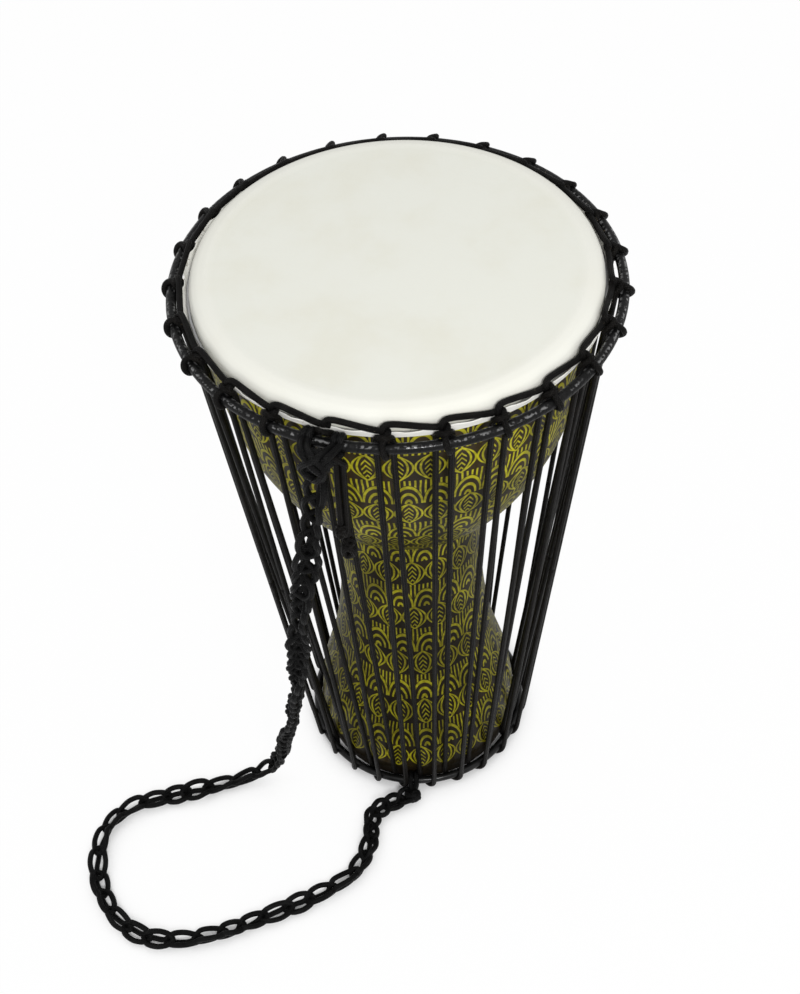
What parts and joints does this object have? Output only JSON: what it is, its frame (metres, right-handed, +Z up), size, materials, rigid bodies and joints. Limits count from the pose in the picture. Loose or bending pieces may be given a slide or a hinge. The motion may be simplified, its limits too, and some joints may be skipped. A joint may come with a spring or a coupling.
{
  "type": "talking djembe",
  "caption": "Waisted goblet hand drum with a flat skin head, roped hoop and foot ring, side ropes that squeeze inwards to bend the note, and a chain-stitched shoulder strap.",
  "frame": {"origin": "on the drum's axis, at the floor under the open foot", "axes": "+Z up the drum's axis to the head; -Y faces the player, and the strap is tied on that side"},
  "size_m": [0.4041, 0.3573, 0.4773],
  "materials": {
    "printed_shell": "satin, dark brown with an olive-yellow line pattern",
    "skin": "matt, ivory",
    "wire": "plain",
    "taped_steel": "glossy black wrap",
    "ring_steel": "glossy black",
    "tension_cord": "braided, matt",
    "lacing_cord": "braided, matt",
    "strap_cord": "braided, matt"
  },
  "bodies": {
    "drum": {"shell": "printed_shell", "drum_skin": "skin", "flesh_ring": "wire", "top_hoop": "taped_steel", "bottom_ring": "ring_steel", "lacing_rope": "lacing_cord", "tension_rope_1": "tension_cord", "tension_rope_2": "tension_cord", "tension_rope_3": "tension_cord", "tension_rope_4": "tension_cord", "tension_rope_5": "tension_cord", "tension_rope_6": "tension_cord", "rope_upper_left_1": "tension_cord", "rope_upper_left_2": "tension_cord", "rope_upper_left_3": "tension_cord", "rope_upper_left_4": "tension_cord", "rope_lower_left_first": "tension_cord", "rope_lower_left_1": "tension_cord", "rope_lower_left_2": "tension_cord", "rope_lower_left_3": "tension_cord", "rope_lower_left_last": "tension_cord", "rope_upper_right_1": "tension_cord", "rope_upper_right_2": "tension_cord", "rope_upper_right_3": "tension_cord", "rope_upper_right_4": "tension_cord", "rope_lower_right_first": "tension_cord", "rope_lower_right_1": "tension_cord", "rope_lower_right_2": "tension_cord", "rope_lower_right_3": "tension_cord", "rope_lower_right_last": "tension_cord", "shoulder_strap": "strap_cord", "strap_top_knot": "strap_cord", "strap_ring_knot": "strap_cord", "rope_tail": "tension_cord", "tail_knot": "tension_cord"},
    "squeezed_ropes_left": {"rope_middle_left_outer_1": "tension_cord", "rope_middle_left_outer_2": "tension_cord", "rope_middle_left_outer_3": "tension_cord", "rope_middle_left_outer_4": "tension_cord", "rope_middle_left_inner_1": "tension_cord", "rope_middle_left_inner_2": "tension_cord", "rope_middle_left_inner_3": "tension_cord", "rope_middle_left_inner_4": "tension_cord"},
    "squeezed_ropes_right": {"rope_middle_right_outer_1": "tension_cord", "rope_middle_right_outer_2": "tension_cord", "rope_middle_right_outer_3": "tension_cord", "rope_middle_right_outer_4": "tension_cord", "rope_middle_right_inner_1": "tension_cord", "rope_middle_right_inner_2": "tension_cord", "rope_middle_right_inner_3": "tension_cord", "rope_middle_right_inner_4": "tension_cord"}
  },
  "joints": [
    {"name": "squeeze_left", "type": "slide", "parent": "drum", "child": "squeezed_ropes_left", "axis": [0.9949, 0.1011, 0], "range_m": [0, 0.02], "stiffness_N_per_m": 1500, "deforming": ["rope_upper_left_1", "rope_upper_left_2", "rope_upper_left_3", "rope_upper_left_4", "rope_lower_left_first", "rope_lower_left_1", "rope_lower_left_2", "rope_lower_left_3", "rope_lower_left_last"]},
    {"name": "squeeze_right", "type": "slide", "parent": "drum", "child": "squeezed_ropes_right", "axis": [-0.9997, 0.0244, 0], "range_m": [0, 0.02], "stiffness_N_per_m": 1500, "deforming": ["rope_upper_right_1", "rope_upper_right_2", "rope_upper_right_3", "rope_upper_right_4", "rope_lower_right_first", "rope_lower_right_1", "rope_lower_right_2", "rope_lower_right_3", "rope_lower_right_last"]}
  ]
}
